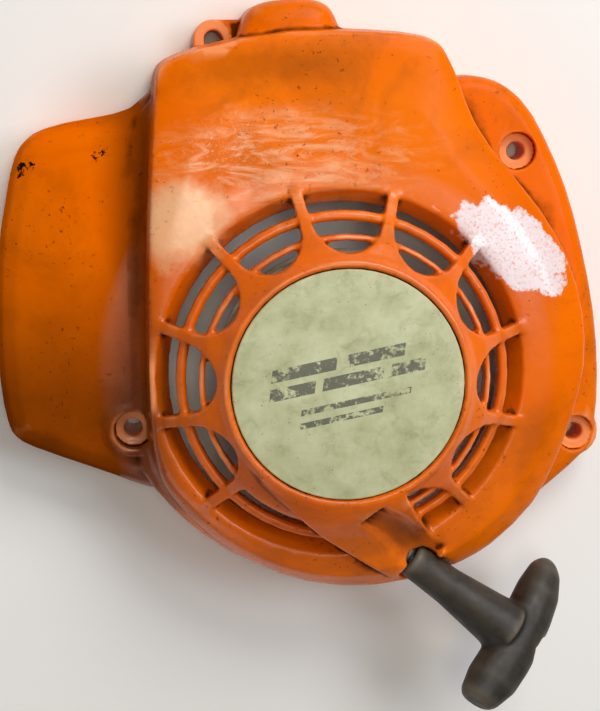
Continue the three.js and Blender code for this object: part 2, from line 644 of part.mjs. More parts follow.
// The wound rope as one closed ring with the bumps of its outer turns.
function ropeWinding() {
  const low = ROPE_Z - GROOVE_H / 2 + GAP;
  const outer = PULL_R + ROPE_R;
  const profile = [[DRUM_R + GAP, low], [outer - ROPE_R, low]];
  for (const z of [ROPE_Z - ROPE_R, ROPE_Z + ROPE_R]) {
    for (const a of [-55, 0, 55]) {
      profile.push([outer - ROPE_R + ROPE_R * Math.cos(rad(a)), z + ROPE_R * 0.93 * Math.sin(rad(a))]);
    }
  }
  profile.push([outer - ROPE_R, low + GROOVE_H - 2 * GAP], [DRUM_R + GAP, low + GROOVE_H - 2 * GAP]);
  profile.push([DRUM_R + GAP, low]);
  return lathe(profile, 48);
}

function knotSolid(radius) {
  const knot = new THREE.SphereGeometry(radius, 12, 7);
  knot.scale(1, 1, 0.86);
  return toSolid(knot);
}

function ropeLead() {
  const clear = PULL_R + 2 * ROPE_R + GAP;
  const from = Math.sqrt(clear ** 2 - PULL_R ** 2);
  const to = BAR_S - KNOT_R * 0.86 - GAP;
  return alongRope(disc(ROPE_R, from, to, 0, 10));
}

// ---------------------------------------------------------------- pawls and their clip

function pawlOutline() {
  const shape = new THREE.Shape();
  shape.absarc(0, 0, PAWL_EYE, rad(70), rad(290), false);
  shape.quadraticCurveTo(7, -3.4, PAWL_REACH - 3, -3.0);
  shape.lineTo(PAWL_REACH, -0.4);
  shape.lineTo(PAWL_REACH - 1.6, 2.0);
  shape.quadraticCurveTo(8, 1.4, PAWL_EYE * Math.cos(rad(70)), PAWL_EYE * Math.sin(rad(70)));
  return shape;
}

function pawl(k) {
  const low = ROTOR_LOW - RUN_GAP - PAWL_T;
  const plate = new THREE.ExtrudeGeometry(pawlOutline(), { depth: PAWL_T, bevelEnabled: false, curveSegments: 8 });
  plate.translate(0, 0, low);
  const peg = disc(PEG_R, low + 1, ROTOR_LOW + 3.6, 0, 16);
  const guide = cylinderAt(1.1, low - 2, low + 1, 7.6, -0.8, 12);
  const [x, y] = pawlPivot(k);
  return join([toSolid(plate), peg, guide]).rotate([0, 0, 60 + 180 * k + 104]).translate([x, y, 0]);
}

// Stamped spring clip in the groove of the post, with an arm behind the guide peg of each pawl.
function springClip() {
  const [low, high] = [CLIP_Z - CLIP_T / 2, CLIP_Z + CLIP_T / 2];
  const arm = [[-1, 4], [-3.4, 11], [-3.8, 17.4], [-1.9, 17.4], [-1.8, 13.6], [0.4, 12.2], [4, 4]];
  const opposite = arm.map(([x, y]) => [-x, -y]);
  const bore = POST_R - GROOVE_T + GAP;
  const slot = [[0, -bore + 0.6], [9, -bore + 0.2], [9, bore - 0.2], [0, bore - 0.6]];
  return join([disc(6.4, low, high), prism(arm, low, high), prism(opposite, low, high)])
    .subtract(disc(bore, low - 1, high + 1))
    .subtract(prism(slot, low - 1, high + 1));
}

// Flanged collar that keeps the rotor on the post, over the clip.
function rotorWasher() {
  const [low, top] = [CLIP_Z + CLIP_T / 2 + GAP, ROTOR_LOW - 0.2 - GAP];
  const bore = POST_R + GAP;
  return lathe([
    [bore, low], [6.2, low], [6.2, top - 1.2], [8.4, top - 1.2], [8.4, top], [bore, top], [bore, low],
  ], 24);
}

// ---------------------------------------------------------------- grip

function starterGrip() {
  const neck = lathe([
    [0, GRIP_FROM], [NECK_R - 0.7, GRIP_FROM], [NECK_R, GRIP_FROM + 0.8],
    [NECK_R + 0.5, GRIP_FROM + 14], [NECK_ROOT_R, BAR_S - 10], [NECK_ROOT_R + 1, BAR_S - 4], [0, BAR_S],
  ], 20);
  const rings = [];
  for (const q of [-1, -0.96, -0.86, -0.6, -0.3, 0, 0.3, 0.6, 0.86, 0.96, 1]) {
    const round = Math.sqrt(Math.max(0.03, 1 - Math.abs(q) ** 5));
    const ring = [];
    for (let k = 0; k < 16; k++) {
      const a = (k / 16) * 2 * Math.PI;
      const deep = (BAR_DEEP + BAR_FLARE * q) * round * Math.cos(a);
      ring.push(new THREE.Vector3(deep - BAR_BEND * q * q, BAR_THICK * round * Math.sin(a), q * BAR_HALF));
    }
    rings.push(ring);
  }
  const dish = disc(DISH_R, BAR_HALF - 1.6, BAR_HALF + 8, 0, 20).translate([0.6 - BAR_BEND, 0, 0]);
  const bar = loft(rings).subtract(dish).rotate([90, 0, 0]).rotate([BAR_TURN, 0, 0]);
  const bore = disc(GRIP_BORE, GRIP_FROM - 1, BAR_S + 1, 0, 16);
  const pocket = disc(POCKET_R, BAR_S - KNOT_R * 0.86 - GAP, BAR_S + 20, 0, 24);
  const turned = bar.rotate([0, 0, PULL_ANGLE]);
  const middle = ROPE_START.clone().addScaledVector(PULL, BAR_S);
  return join([alongRope(neck), turned.translate(middle.toArray())])
    .subtract(alongRope(join([bore, pocket])));
}

// ---------------------------------------------------------------- assembly

function finish(color, roughness, metalness) {
  return new THREE.MeshStandardMaterial({ color, roughness, metalness });
}

const FINISH = {
  nylon: () => finish(0xdf6a10, 0.38, 0),
  label: () => finish(0xbfc09a, 0.6, 0),
  handle: () => finish(0x362f28, 0.8, 0),
  rope: () => finish(0xb9b3a0, 0.9, 0),
  steel: () => finish(0x9a9c9e, 0.35, 1),
  springSteel: () => finish(0x55585c, 0.4, 1),
  bronze: () => finish(0x8c6a3a, 0.5, 1),
  black: () => finish(0x26262a, 0.55, 0),
  natural: () => finish(0xd8d3c0, 0.5, 0),
};

const root = new THREE.Group();

function place(name, solid, material) {
  const mesh = new THREE.Mesh(toGeometry(solid), material);
  mesh.name = name;
  root.add(mesh);
  return mesh;
}

place('fan_housing', fanHousing(), FINISH.nylon());
place('hub_badge', hubBadge(), FINISH.label());
place('rope_bushing', ropeBushing(), FINISH.steel());
place('starter_post', starterPost(), FINISH.steel());
place('spring_cartridge', springCartridge(), FINISH.black());
place('spring_cover', springCover(), FINISH.black());
place('cartridge_screw_1', caseScrew(0), FINISH.steel());
place('cartridge_screw_2', caseScrew(180), FINISH.steel());
place('rewind_spring', rewindSpring(), FINISH.springSteel());
place('rope_rotor', ropeRotor(), FINISH.natural());
place('rotor_bush', rotorBush(), FINISH.bronze());
place('rope_winding', ropeWinding(), FINISH.rope());
place('rope_lead', ropeLead(), FINISH.rope());
const [knotX, knotY] = rotorKnotPoint();
place('rotor_knot', knotSolid(KNOT_R - 0.2), FINISH.rope()).position.set(knotX, knotY, ROPE_Z - 1);
const gripKnot = ROPE_START.clone().addScaledVector(PULL, BAR_S + GAP);
place('grip_knot', knotSolid(KNOT_R), FINISH.rope()).position.copy(gripKnot);
place('pawl_1', pawl(0), FINISH.black());
place('pawl_2', pawl(1), FINISH.black());
place('spring_clip', springClip(), FINISH.springSteel());
place('rotor_washer', rotorWasher(), FINISH.steel());
place('starter_grip', starterGrip(), FINISH.handle());

// The frame's origin is the centre of the whole object's base.
root.updateMatrixWorld(true);
const box = new THREE.Box3().setFromObject(root, true);
const centre = box.getCenter(new THREE.Vector3());
root.position.set(-centre.x, -centre.y, -box.min.z);

export default root;
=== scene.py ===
import math

import bmesh
import bpy
import numpy as np
from mathutils import Euler, Matrix, Vector


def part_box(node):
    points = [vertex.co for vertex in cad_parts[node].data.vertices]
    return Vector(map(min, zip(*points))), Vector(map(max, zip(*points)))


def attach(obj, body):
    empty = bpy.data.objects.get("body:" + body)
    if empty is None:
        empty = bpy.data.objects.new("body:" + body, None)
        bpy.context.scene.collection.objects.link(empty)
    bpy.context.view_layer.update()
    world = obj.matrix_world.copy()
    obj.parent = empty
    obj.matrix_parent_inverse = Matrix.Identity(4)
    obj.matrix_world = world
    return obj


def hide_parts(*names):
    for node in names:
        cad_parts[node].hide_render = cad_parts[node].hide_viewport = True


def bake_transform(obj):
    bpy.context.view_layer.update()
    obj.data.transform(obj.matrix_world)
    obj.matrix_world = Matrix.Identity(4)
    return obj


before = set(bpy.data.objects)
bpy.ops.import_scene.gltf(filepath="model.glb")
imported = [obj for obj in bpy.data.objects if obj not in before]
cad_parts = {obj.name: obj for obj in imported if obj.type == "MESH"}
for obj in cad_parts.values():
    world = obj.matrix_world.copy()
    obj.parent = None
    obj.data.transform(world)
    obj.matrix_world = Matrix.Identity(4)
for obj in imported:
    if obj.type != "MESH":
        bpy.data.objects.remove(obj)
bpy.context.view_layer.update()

# ------------------------------------------------------------------ camera, floor and light
# The starter lies on its mounting rim on a pale table, seen from above and a little from the
# chimney side. Soft boxes hang nearly overhead, where the moulding's gloss mirrors them.

MM = 0.001
badge_low, badge_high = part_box("hub_badge")
CRANK = Vector(((badge_low.x + badge_high.x) / 2, (badge_low.y + badge_high.y) / 2, 0))
badge_middle = Vector((CRANK.x, CRANK.y, badge_high.z))

TILT = math.radians(13)
BEARING = math.radians(124)
DISTANCE = 400 * MM
AIM = Vector((-11.9, 7.0, -7.0)) * MM
ROLL = math.radians(-0.32)

away = Vector((math.sin(TILT) * math.cos(BEARING), math.sin(TILT) * math.sin(BEARING), math.cos(TILT)))
bpy.ops.object.camera_add(location=badge_middle + away * DISTANCE)
camera = bpy.context.object
camera.name = "camera"
camera.data.lens = 79
camera.data.sensor_width = 36
sight = (badge_middle + AIM - camera.location).normalized()
right = sight.cross(Vector((0, 1, 0))).normalized()
upright = Matrix((right, right.cross(sight), -sight)).transposed().to_quaternion()
camera.rotation_mode = "QUATERNION"
camera.rotation_quaternion = upright @ Euler((0, 0, ROLL)).to_quaternion()
bpy.context.scene.camera = camera


def linear(hex_colour):
    """An sRGB hex colour as linear RGBA."""
    parts = [int(hex_colour[i:i + 2], 16) / 255 for i in (1, 3, 5)]
    return [c / 12.92 if c <= 0.04045 else ((c + 0.055) / 1.055) ** 2.4 for c in parts] + [1.0]


def new_material(name, **settings):
    """A Principled material with its plain sockets set; returns the material, tree and shader."""
    material = bpy.data.materials.new(name)
    material.use_nodes = True
    shader = material.node_tree.nodes["Principled BSDF"]
    for key, value in settings.items():
        shader.inputs[key.replace("_", " ")].default_value = value
    return material, material.node_tree, shader


# Laminate, pressed smooth and matt: an even pale ground.
laminate = new_material("pale_laminate", Base_Color=linear("#F4F3F0"), Roughness=0.6)[0]
bpy.ops.mesh.primitive_plane_add(size=4, location=(0, 0, 0))
table_top = bpy.context.object
table_top.name = "table_top"
table_top.data.materials.append(laminate)

# Each light: its direction from the badge, its distance and size in metres, watts and colour.
for name, direction, distance, size, watts, colour in (
    ("overhead_box", (-0.02, 0.14, 1), 0.8, (0.14, 0.3), 1.2, "#FFF3E0"),
    ("shoulder_box", (0.57, 0.24, 0.81), 0.8, (0.34, 0.3), 2.2, "#F2F6FF"),
    ("window_box", (0.45, 1.0, 0.8), 1.2, (0.7, 0.5), 9.4, "#FFFCF7"),
    ("low_fill", (-0.7, -0.9, 0.6), 1.2, (0.6, 0.4), 1.2, "#FFFFFF"),
):
    from_badge = Vector(direction).normalized() * distance
    bpy.ops.object.light_add(type="AREA", location=badge_middle + from_badge)
    light = bpy.context.object
    light.name = name
    light.data.shape = "RECTANGLE"
    light.data.size, light.data.size_y = size
    light.data.energy = watts
    light.data.color = linear(colour)[:3]
    light.rotation_mode = "QUATERNION"
    light.rotation_quaternion = (-from_badge).to_track_quat("-Z", "Y")

world = bpy.data.worlds.new("studio")
bpy.context.scene.world = world
world.use_nodes = True
background = world.node_tree.nodes["Background"]
background.inputs["Color"].default_value = linear("#FFFFFF")
background.inputs["Strength"].default_value = 0.15
bpy.context.scene.view_settings.view_transform = "Standard"


# ------------------------------------------------------------------ fan housing
# One injection moulding of glass-filled nylon: body, lobe, flange, grille, hub and rope cover.
# Flat ground and facets are smoothed most, moulded edges less, and the grille least. Its gloss
# is broken by scuffs; oily grime lies in its corners, with dark specks and chips from work.
# Painted shade browns the lobe's foot, and painted sheen and reflections pale parts of its face.

HOUSING_VOXEL = 0.5 * MM
HOUSING_ROUNDS = 34
HOUSING_FACES = 190000
GRILLE_R = 50.5
SCREWS = ((-31.8, 88.3), (52.0, 57.8), (-55.6, -16.6), (70.4, -22.6))
SEAT_R = 5.0
SEAT_TONE = 0.08
SCOOP = (25.2, -45.9)


def add_node(tree, kind, links, out=0, stops=(), **settings):
    """Adds a node and returns one of its outputs. Links feed its sockets, stops set its ramp in
    hex colours or greys, and settings are its properties or the values of named sockets."""
    node = tree.nodes.new("ShaderNode" + kind)
    for key, value in settings.items():
        if hasattr(node, key):
            setattr(node, key, value)
        else:
            node.inputs[key.replace("_", " ")].default_value = value
    for socket, source in links.items():
        if isinstance(source, (int, float, list)):
            node.inputs[socket].default_value = source
        else:
            tree.links.new(source, node.inputs[socket])
    if stops:
        elements = node.color_ramp.elements
        while len(elements) < len(stops):
            elements.new(0.5)
        for element, (at, colour) in zip(elements, stops):
            element.position = at
            element.color = linear(colour) if isinstance(colour, str) else (colour,) * 3 + (1,)
    return node.outputs[out]


def soiling(tree, place, rows):
    """Noise patterns by name; a row gives the grain in mm, detail, roughness, distortion, and
    the stops of a ramp or None for the bare noise."""
    patterns = {}
    for name, grain, detail, roughness, distortion, stops in rows:
        noise = add_node(tree, "TexNoise", {"Vector": place}, Scale=1 / (grain * MM), Detail=detail,
                         Roughness=roughness, Distortion=distortion)
        patterns[name] = add_node(tree, "ValToRGB", {"Fac": noise}, stops=stops) if stops else noise
    return patterns


def relief(tree, shader, layers):
    """Gives a finish its relief; a layer is a height, its depth in mm and its strength."""
    normal = None
    for height, depth, strength in layers:
        links = {"Height": height} if normal is None else {"Height": height, "Normal": normal}
        normal = add_node(tree, "Bump", links, Strength=strength, Distance=depth * MM)
    tree.links.new(normal, shader.inputs["Normal"])


def orange_nylon():
    """Moulded nylon: even saturated orange, matt under oil film, with painted shade on the lobe and two pale patches of
    painted reflection.
    """
    material, tree, shader = new_material("moulded_orange_nylon", IOR=1.5)
    place = add_node(tree, "TexCoord", {}, "Object")
    facing = add_node(tree, "TexCoord", {}, "Normal")
    outer_side = add_node(tree, "Math", {0: add_node(tree, "SeparateXYZ", {"Vector": facing}, "Z"), 1: 0.0},
                          operation="GREATER_THAN")
    cavity = add_node(tree, "Attribute", {}, "Fac", attribute_name="hollow")
    soil = soiling(tree, place, (
        ("tone", 40, 3, 0.5, 0, [(0.3, "#E06200"), (0.7, "#F47200")]),
        ("faded", 55, 2, 0.5, 0, [(0.5, 0.0), (0.8, 0.4)]),
        ("oil", 18, 6, 0.6, 0, [(0.2, 0.75), (0.8, 1.0)]),
        ("film", 26, 8, 0.66, 0.7, [(0.46, 0.0), (0.74, 0.5)]),
        ("grit", 7, 6, 0.65, 0, None),
        ("torn", 7, 6, 0.7, 0, None),
        ("scratches", 1.6, 7, 0.75, 2.5, [(0.56, 0.0), (0.64, 0.8)]),
        ("pits", 0.9, 5, 0.75, 0, [(0.52, 1.0), (0.64, 0.35)]),
        ("specks", 1.5, 4, 0.65, 0, [(0.62, 0.0), (0.67, 0.65)]),
        ("clusters", 24, 4, 0.65, 0, [(0.45, 0.0), (0.6, 1.0)]),
        ("chips", 2.6, 5, 0.7, 0, None),
        ("edges", 5, 4, 0.5, 0, None),
        ("wear", 9, 6, 0.7, 1.0, [(0.3, 0.2), (0.7, 0.3)]),
        ("swell", 16, 2, 0.5, 0, None),
        ("flow", 3.2, 4, 0.6, 0, None),
        ("grain", 0.6, 2, 0.5, 0, None),
    ))
    along_scuffs = add_node(tree, "Mapping", {"Vector": place}, Rotation=(0, 0, math.radians(-24)), Scale=(0.22, 1, 1))
    scuffs = soiling(tree, along_scuffs, (("scuffs", 4, 8, 0.75, 1.2, None),))["scuffs"]

    def join(operation, first, second):
        """Combines two masks, or a mask and a number."""
        return add_node(tree, "Math", {0: first, 1: second}, operation=operation)

    def oval(x, y, long, wide, turn, ragged, soft):
        """1 inside a ragged oval of the outer side, fading to 0 at its edge; places in mm."""
        local = add_node(tree, "Mapping", {"Vector": place}, vector_type="TEXTURE", Location=(x * MM, y * MM, 0.035),
                         Rotation=(0, 0, math.radians(turn)), Scale=(long * MM, wide * MM, 1))
        reach = join("MULTIPLY", add_node(tree, "VectorMath", {0: local}, "Value", operation="LENGTH"), 0.8)
        torn = join("MULTIPLY", join("SUBTRACT", soil["torn"], 0.5), ragged * 2)
        inside = add_node(tree, "ValToRGB", {"Fac": join("ADD", reach, torn)}, stops=[(0.8 - soft, 1.0), (0.8, 0.0)])
        return join("MULTIPLY", inside, outer_side)

    def fade(axis, start, end):
        """0 to 1 between two places along an axis, in mm."""
        along = add_node(tree, "SeparateXYZ", {"Vector": place}, axis)
        return add_node(tree, "MapRange", {"Value": along, "From Min": start * MM, "From Max": end * MM})

    # Painted shade browns the lobe toward its foot and the strip beside the body wall, mottled
    # by oil; old oil browns four corners.
    lobe_foot_shade = join("MULTIPLY", fade("X", -31, -45), join("MULTIPLY", fade("Y", 36, -10), 0.95))
    wall_strip_shadow = join("MULTIPLY", fade("X", -58, -44), join("MULTIPLY", fade("X", -39, -42), 0.85))
    oil_and_painted_shade = join("MULTIPLY", join("MAXIMUM", lobe_foot_shade, join("MULTIPLY", wall_strip_shadow, fade("Z", 30, 24))), soil["oil"])
    for x, y, long, wide, turn, depth in ((25, -46, 13, 8, -38, 0.6), (-48, -20, 13, 11, 0, 0.8),
                                          (-14, 78, 32, 8, 4, 0.35), (60, -22, 16, 9, 60, 0.35)):
        oil_and_painted_shade = join("MAXIMUM", oil_and_painted_shade, join("MULTIPLY", oval(x, y, long, wide, turn, 0.5, 0.6), depth))
    # Hollows are darkened and dulled, with a little grit noise.
    dirt = join("ADD", cavity, join("MULTIPLY", soil["grit"], 0.22))
    in_hollows = add_node(tree, "ValToRGB", {"Fac": dirt}, stops=[(0.62, 0.0), (0.78, 0.9)])

    # Scuffs run up to the right above the grille, lightened with painted sheen, as are the scratches
    # beside them. The cream and the white patch stand for a lamp's reflections and are partly
    # painted, so they stay where they are under any light.
    on_face = fade("Z", 27, 31)
    scuffs_with_sheen = join("MULTIPLY", add_node(tree, "ValToRGB", {"Fac": scuffs}, stops=[(0.45, 0.0), (0.6, 1.0)]),
                   join("MULTIPLY", oval(-8, 53, 46, 17, 4, 0.4, 0.5), on_face))
    scratches_with_sheen = join("MULTIPLY", soil["scratches"], oval(-23, 59, 15, 9, 20, 0.5, 0.4))
    cream_reflection_patch = join("MULTIPLY", oval(-34.5, 38.5, 15, 13, 20, 0.35, 0.4), on_face)
    # The near-white mixed into the colour here is a painted reflection, and the patch is kept glossy as well.
    white_reflection_patch = join("MULTIPLY", oval(53, 31, 17.5, 9.5, -36, 0.45, 0.06), soil["pits"])
    # A pale cream of painted sheen lies over the scuffs and scratches, and of painted reflection over the cream patch.
    sheen_and_scuff_bloom = join("MAXIMUM", join("MULTIPLY", scuffs_with_sheen, 0.3), join("MULTIPLY", cream_reflection_patch, 0.5))
    sheen_and_scuff_bloom = join("MAXIMUM", sheen_and_scuff_bloom, join("MULTIPLY", scratches_with_sheen, 0.6))

    # Specks gather in clusters, and the lobe's top edge is chipped in two places.
    speckled = join("MULTIPLY", soil["specks"], soil["clusters"])
    worst = join("MAXIMUM", oval(-55, 56.5, 5, 3, 10, 0.3, 0.4), oval(-75, 52, 4, 3, 40, 0.3, 0.4))
    chip_level = join("ADD", soil["chips"], join("MULTIPLY", worst, 0.17))
    chips = add_node(tree, "ValToRGB", {"Fac": chip_level}, stops=[(0.70, 0.0), (0.72, 1.0)])
    edge_level = join("SUBTRACT", cavity, join("MULTIPLY", soil["edges"], 0.08))
    worn = add_node(tree, "ValToRGB", {"Fac": edge_level}, stops=[(0.06, 0.95), (0.14, 0.35), (0.24, 0.0)])

    # The oil brown also lays painted shade, the cream a painted sheen and the near-white a painted reflection.
    base = soil["tone"]
    for amount, colour in ((soil["faded"], "#F48010"), (oil_and_painted_shade, "#5C2A04"), (soil["film"], "#8A3E06"),
                           (in_hollows, "#3E1C05"), (sheen_and_scuff_bloom, "#F6DCAA"),
                           (join("MULTIPLY", white_reflection_patch, 0.75), "#EEF3FA"),
                           (speckled, "#3A1A06"), (chips, "#1E120A"), (worn, "#F2935A")):
        base = add_node(tree, "Mix", {0: amount, 6: base, 7: linear(colour)}, 2, data_type="RGBA")
    tree.links.new(base, shader.inputs["Base Color"])

    # Gloss is kept for the two patches, the scuffs and the grille; the rest is dulled by film.
    from_crank = add_node(tree, "VectorMath", {0: place, 1: list(CRANK)}, "Value", operation="DISTANCE")
    grille = add_node(tree, "ValToRGB", {"Fac": join("MULTIPLY", from_crank, 10)}, stops=[(0.66, 0.45), (0.69, 0.0)])
    shine = join("MAXIMUM", white_reflection_patch, join("MULTIPLY", cream_reflection_patch, 0.8))
    for level in (join("MULTIPLY", scuffs_with_sheen, 0.55), grille, join("MULTIPLY", fade("X", -45, -30), 0.07)):
        shine = join("MAXIMUM", shine, level)
    clean = join("SUBTRACT", 1.0, join("MAXIMUM", in_hollows, speckled))
    tree.links.new(join("MULTIPLY", shine, clean), shader.inputs["Specular IOR Level"])
    rough = soil["wear"]
    for amount, level in ((soil["film"], 0.45), (in_hollows, 0.8)):
        rough = add_node(tree, "Mix", {0: amount, 6: rough, 7: [level, level, level, 1]}, 2, data_type="RGBA")
    tree.links.new(rough, shader.inputs["Roughness"])
    relief(tree, shader, ((soil["swell"], 0.5, 0.12), (soil["flow"], 0.12, 0.28), (scuffs, 0.06, 0.35),
                          (soil["grain"], 0.03, 0.2)))
    return material


def only(piece):
    """Makes a piece the only selected and the active object."""
    bpy.ops.object.select_all(action="DESELECT")
    piece.hide_set(False)
    piece.select_set(True)
    bpy.context.view_layer.objects.active = piece


def cad_copy(node, name, body, material):
    """A copy of a CAD node with its loose triangles merged, riding on its body in the node's place."""
    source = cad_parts[node]
    piece = source.copy()
    piece.data = source.data.copy()
    piece.name = name
    piece.parent = None
    for key in list(piece.keys()):
        del piece[key]
    bpy.context.scene.collection.objects.link(piece)
    only(piece)
    piece.data.materials.clear()
    piece.data.materials.append(material)
    bpy.ops.object.mode_set(mode="EDIT")
    bpy.ops.mesh.select_all(action="SELECT")
    bpy.ops.mesh.remove_doubles(threshold=0.002 * MM)
    bpy.ops.mesh.normals_make_consistent(inside=False)
    bpy.ops.object.mode_set(mode="OBJECT")
    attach(piece, body)
    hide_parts(node)
    return piece


def apply_modifier(piece, kind, **settings):
    """Adds a modifier to a piece and applies it."""
    only(piece)
    modifier = piece.modifiers.new(kind.lower(), kind)
    for key, value in settings.items():
        setattr(modifier, key, value)
    bpy.ops.object.modifier_apply(modifier=modifier.name)


def weigh(piece, name, weights):
    """A vertex group with one weight for each vertex, in steps of 1/32."""
    group = piece.vertex_groups.new(name=name)
    steps = np.round(np.clip(weights, 0, 1) * 32).astype(int)
    for step in range(1, 33):
        chosen = np.nonzero(steps == step)[0].tolist()
        if chosen:
            group.add(chosen, step / 32, "REPLACE")


def mesh_arrays(mesh):
    """Vertex places, vertex normals and edges as arrays."""
    count = len(mesh.vertices)
    place = np.empty(count * 3)
    mesh.vertices.foreach_get("co", place)
    normal = np.empty(count * 3)
    mesh.vertices.foreach_get("normal", normal)
    edge = np.empty(len(mesh.edges) * 2, dtype=np.int64)
    mesh.edges.foreach_get("vertices", edge)
    return place.reshape(-1, 3), normal.reshape(-1, 3), edge.reshape(-1, 2).T


def spread_out(values, edge, rounds):
    """Each vertex takes the mean of its neighbours, some rounds over."""
    a, b = edge
    count = len(values)
    degree = np.maximum(np.bincount(a, minlength=count) + np.bincount(b, minlength=count), 1)
    flat = values if values.ndim > 1 else values[:, None]
    for _ in range(rounds):
        total = np.stack([np.bincount(a, column[b], count) + np.bincount(b, column[a], count)
                          for column in flat.T], axis=1)
        flat = total / degree[:, None]
    return flat if values.ndim > 1 else flat[:, 0]


def hollow_layer(piece, rounds):
    """Stores on each vertex how deep in a hollow it lies: 0.5 on flat ground, less on edges."""
    place, normal, edge = mesh_arrays(piece.data)
    depth = ((spread_out(place, edge, rounds) - place) * normal).sum(axis=1) / MM
    depth = spread_out(depth, edge, 3)
    layer = piece.data.attributes.new("hollow", "FLOAT", "POINT")
    layer.data.foreach_set("value", np.clip(0.5 + depth, 0, 1).astype(np.float32))


housing = cad_copy("fan_housing", "fan_housing_moulding", "housing", orange_nylon())
apply_modifier(housing, "REMESH", mode="VOXEL", voxel_size=HOUSING_VOXEL)
place, normal, edge = mesh_arrays(housing.data)
evenness = np.linalg.norm(spread_out(normal, edge, 5), axis=1)
flat = np.clip((evenness - 0.90) / 0.08, 0, 1)
reach = np.hypot(place[:, 0] - CRANK.x, place[:, 1] - CRANK.y) / MM
outside = np.clip((reach - GRILLE_R) / 3, 0, 1)
for x, y in SCREWS:
    from_screw = np.hypot(place[:, 0] - CRANK.x - x * MM, place[:, 1] - CRANK.y - y * MM) / MM
    outside *= np.clip((from_screw - 6.5) / 4, 0.06, 1)
from_scoop = np.hypot(place[:, 0] - SCOOP[0] * MM, place[:, 1] - SCOOP[1] * MM) / MM
by_scoop = 0.9 * np.clip((11 - from_scoop) / 4, 0, 1)
by_form = outside * (0.34 + 0.66 * flat) + (1 - outside) * (0.05 + 0.3 * flat ** 3)
weigh(housing, "rounding", np.maximum(by_form, by_scoop))
apply_modifier(housing, "SMOOTH", factor=0.5, iterations=HOUSING_ROUNDS, vertex_group="rounding")
if len(housing.data.polygons) * 2 > HOUSING_FACES:
    apply_modifier(housing, "DECIMATE", ratio=HOUSING_FACES / (len(housing.data.polygons) * 2))
only(housing)
bpy.ops.object.shade_smooth()
hollow_layer(housing, 8)

# The rim stays on the table, and the screw seats' faces are rubbed pale.
tones = housing.data.attributes["hollow"].data
for vertex in housing.data.vertices:
    vertex.co.z = max(vertex.co.z, 0)
    for x, y in SCREWS:
        from_screw = math.hypot(vertex.co.x - CRANK.x - x * MM, vertex.co.y - CRANK.y - y * MM) / MM
        if from_screw < SEAT_R and vertex.normal.z > 0.6:
            tones[vertex.index].value = SEAT_TONE


# ------------------------------------------------------------------ hub badge
# A printed foil disc in the hub's seat: pale green-grey, stained and mottled, with a worn print
# of slanted bars.

# Each bar of the print: left, right, bottom and top, in mm from the badge's middle.
PRINT_BARS = ((-21, -9, 0, 3.2), (-21, -4, 4.8, 8), (-7, 9, 0, 3.2), (-2, 14, 4.8, 8), (11, 20, 0, 3.2),
              (-12, 17, -5.2, -3.6), (-12, 10, -8.6, -7.0))
PRINT_TURN = math.radians(11)
PRINT_SLANT = 0.32


def printed_foil():
    """Printed foil: a pale satin film, stained, with a dark print half rubbed away."""
    material, tree, shader = new_material("printed_foil", Roughness=0.5)
    place = add_node(tree, "TexCoord", {}, "Object")
    soil = soiling(tree, place, (
        ("tone", 9, 6, 0.6, 0, [(0.3, "#A9AB80"), (0.5, "#BDC096"), (0.7, "#CCD0A8")]),
        ("stains", 5, 7, 0.7, 0.6, [(0.52, 0.0), (0.75, 0.55)]),
        ("rubbed", 2.4, 6, 0.7, 0, [(0.42, 0.0), (0.5, 0.85)]),
        ("specks", 1.1, 3, 0.6, 0, [(0.69, 0.0), (0.72, 0.8)]),
        ("gloss", 6, 5, 0.5, 0, [(0.3, 0.42), (0.7, 0.62)]),
        ("buckle", 5, 4, 0.5, 0, None),
        ("grain", 0.8, 2, 0.5, 0, None),
    ))
    local = add_node(tree, "Mapping", {"Vector": place}, vector_type="TEXTURE", Location=badge_middle,
                     Rotation=(0, 0, PRINT_TURN), Scale=(MM, MM, MM))
    across, up = (add_node(tree, "SeparateXYZ", {"Vector": local}, axis) for axis in "XY")
    lean = add_node(tree, "Math", {0: up, 1: PRINT_SLANT}, operation="MULTIPLY")
    across = add_node(tree, "Math", {0: across, 1: lean}, operation="SUBTRACT")
    mark = 0.0
    for left_end, right_end, bottom, top in PRINT_BARS:
        inside = 1.0
        for value, side, bound in ((across, "GREATER_THAN", left_end), (across, "LESS_THAN", right_end),
                                   (up, "GREATER_THAN", bottom), (up, "LESS_THAN", top)):
            test = add_node(tree, "Math", {0: value, 1: bound}, operation=side)
            inside = add_node(tree, "Math", {0: inside, 1: test}, operation="MULTIPLY")
        mark = add_node(tree, "Math", {0: mark, 1: inside}, operation="MAXIMUM")
    printed = add_node(tree, "Math", {0: mark, 1: soil["rubbed"]}, operation="MULTIPLY")
    base = soil["tone"]
    for amount, colour in ((soil["stains"], "#857F55"), (printed, "#4A4C46"), (soil["specks"], "#4C4526")):
        base = add_node(tree, "Mix", {0: amount, 6: base, 7: linear(colour)}, 2, data_type="RGBA")
    tree.links.new(base, shader.inputs["Base Color"])
    tree.links.new(soil["gloss"], shader.inputs["Roughness"])
    relief(tree, shader, ((soil["buckle"], 0.08, 0.3), (soil["grain"], 0.02, 0.3)))
    return material


def soft_edges(piece, width_mm):
    """Rounds a piece's edges and shades the rest smooth."""
    apply_modifier(piece, "BEVEL", width=width_mm * MM, segments=2, limit_method="ANGLE",
                   angle_limit=math.radians(35), use_clamp_overlap=True)
    only(piece)
    bpy.ops.object.shade_smooth_by_angle(angle=math.radians(40))


soft_edges(cad_copy("hub_badge", "hub_badge_disc", "housing", printed_foil()), 0.12)


# ------------------------------------------------------------------ grip
# Black rubber-like moulding gone brown with dust: a round neck that flows into a T-bar with
# rounded ends, one of them dished with a raised lip.

GRIP_VOXEL = 0.4 * MM
GRIP_ROUNDS = 44


